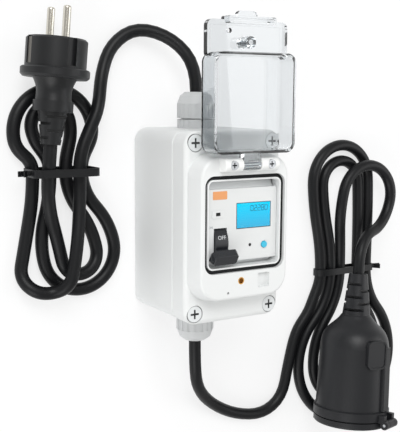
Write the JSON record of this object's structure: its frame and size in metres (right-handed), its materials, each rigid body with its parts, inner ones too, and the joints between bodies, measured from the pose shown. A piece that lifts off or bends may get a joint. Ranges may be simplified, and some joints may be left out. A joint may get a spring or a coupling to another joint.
{
  "type": "plug-in energy meter",
  "caption": "Splash-proof box with an energy meter and breaker behind a clear flip-over window lid, with a coiled plug lead at one end and a coiled coupler lead at the other",
  "frame": {"origin": "middle of the box's flat back face, on the surface it lies on", "axes": "+X across the box to the right, +Y along the box from the coupler lead's gland to the plug lead's gland, +Z out of the front"},
  "size_m": [0.3277, 0.3121, 0.0917],
  "materials": {
    "box_grey": "fine satin light grey polycarbonate",
    "gasket_black": "dull black foam rubber",
    "seal_grey": "soft pale grey silicone",
    "screw_grey": "satin grey plastic",
    "clear_plastic": "clear polished polycarbonate",
    "lug_white": "satin white plastic",
    "steel": "zinc-plated steel",
    "brass": "plain brass",
    "meter_white": "satin white plastic",
    "face_grey": "smooth pale grey plastic",
    "display_blue": "blue backlit liquid-crystal panel",
    "lens_clear": "clear acrylic",
    "lever_black": "glossy black plastic",
    "button_teal": "glossy teal plastic",
    "badge_orange": "plain orange film",
    "lamp_dark": "dark tinted plastic",
    "gland_grey": "satin light grey nylon",
    "cord_black": "matt black rubber sheath",
    "plug_black": "matt black moulded rubber",
    "socket_black": "satin black plastic",
    "nickel": "nickel-plated brass",
    "wire_brown": "smooth PVC core, brown",
    "wire_blue": "smooth PVC core, blue",
    "wire_green_yellow": "smooth PVC core, green and yellow",
    "tie_black": "plastic-covered wire tie"
  },
  "bodies": {
    "box": {"back_box": "box_grey", "badge": "badge_orange", "blue_wires": "wire_blue", "brown_wires": "wire_brown", "coupler_body": "socket_black", "coupler_contacts": "brass", "coupler_earth_clips": "nickel", "coupler_gland_body": "gland_grey", "coupler_gland_locknut": "gland_grey", "coupler_gland_nut": "gland_grey", "coupler_gland_seal": "gasket_black", "coupler_hank": "cord_black", "coupler_insert": "socket_black", "coupler_lead": "cord_black", "coupler_sheath_end": "cord_black", "coupler_tie": "tie_black", "cover_gasket": "gasket_black", "cover_screws": "screw_grey", "din_rail": "steel", "display_lens": "lens_clear", "display_panel": "display_blue", "earth_wire": "wire_green_yellow", "face_plate": "face_grey", "flag_window": "lamp_dark", "flap_pin": "steel", "front_cover": "box_grey", "hinge_lugs": "lug_white", "hinge_pin": "steel", "hinge_screws": "steel", "lock_insert": "brass", "meter_housing": "meter_white", "plug_body": "plug_black", "plug_earth_strips": "nickel", "plug_gland_body": "gland_grey", "plug_gland_locknut": "gland_grey", "plug_gland_nut": "gland_grey", "plug_gland_seal": "gasket_black", "plug_hank": "cord_black", "plug_lead": "cord_black", "plug_pins": "nickel", "plug_sheath_end": "cord_black", "plug_tie": "tie_black", "rail_screws": "steel", "status_lamp": "lamp_dark", "terminal_screws": "steel", "toggle_pin": "steel", "window_seal": "seal_grey"},
    "lid": {"window_lid": "clear_plastic"},
    "lid_screw": {"lock_screw": "steel"},
    "toggle": {"toggle_lever": "lever_black"},
    "button": {"test_button": "button_teal"},
    "clip": {"rail_clip": "screw_grey"},
    "flap": {"coupler_flap": "socket_black"}
  },
  "joints": [
    {"name": "lid_hinge", "type": "hinge", "parent": "box", "child": "lid", "pos_m": [0, 0.0406, 0.0863], "axis": [1, 0, 0], "range_deg": [0, 180]},
    {"name": "lock_screw_turn", "type": "hinge", "parent": "lid", "child": "lid_screw", "pos_m": [-0.003, 0.1132, 0.08], "axis": [0, 0, 1], "range_deg": [0, 360]},
    {"name": "toggle_pivot", "type": "hinge", "parent": "box", "child": "toggle", "pos_m": [-0.016, -0.008, 0.069], "axis": [-1, 0, 0], "range_deg": [0, 60]},
    {"name": "button_press", "type": "slide", "parent": "box", "child": "button", "axis": [0, 0, -1], "range_m": [0, 0.0006], "stiffness_N_per_m": 1500, "springref_m": -0.0004},
    {"name": "clip_slide", "type": "slide", "parent": "box", "child": "clip", "axis": [0, -1, 0], "range_m": [0, 0.003], "stiffness_N_per_m": 1500, "springref_m": -0.001},
    {"name": "flap_hinge", "type": "hinge", "parent": "box", "child": "flap", "pos_m": [0.14158, -0.15912, 0.06757], "axis": [-0.9343, 0.1027, 0.3414], "range_deg": [0, 100], "stiffness_Nm_per_rad": 0.02, "springref_deg": -20.05}
  ]
}
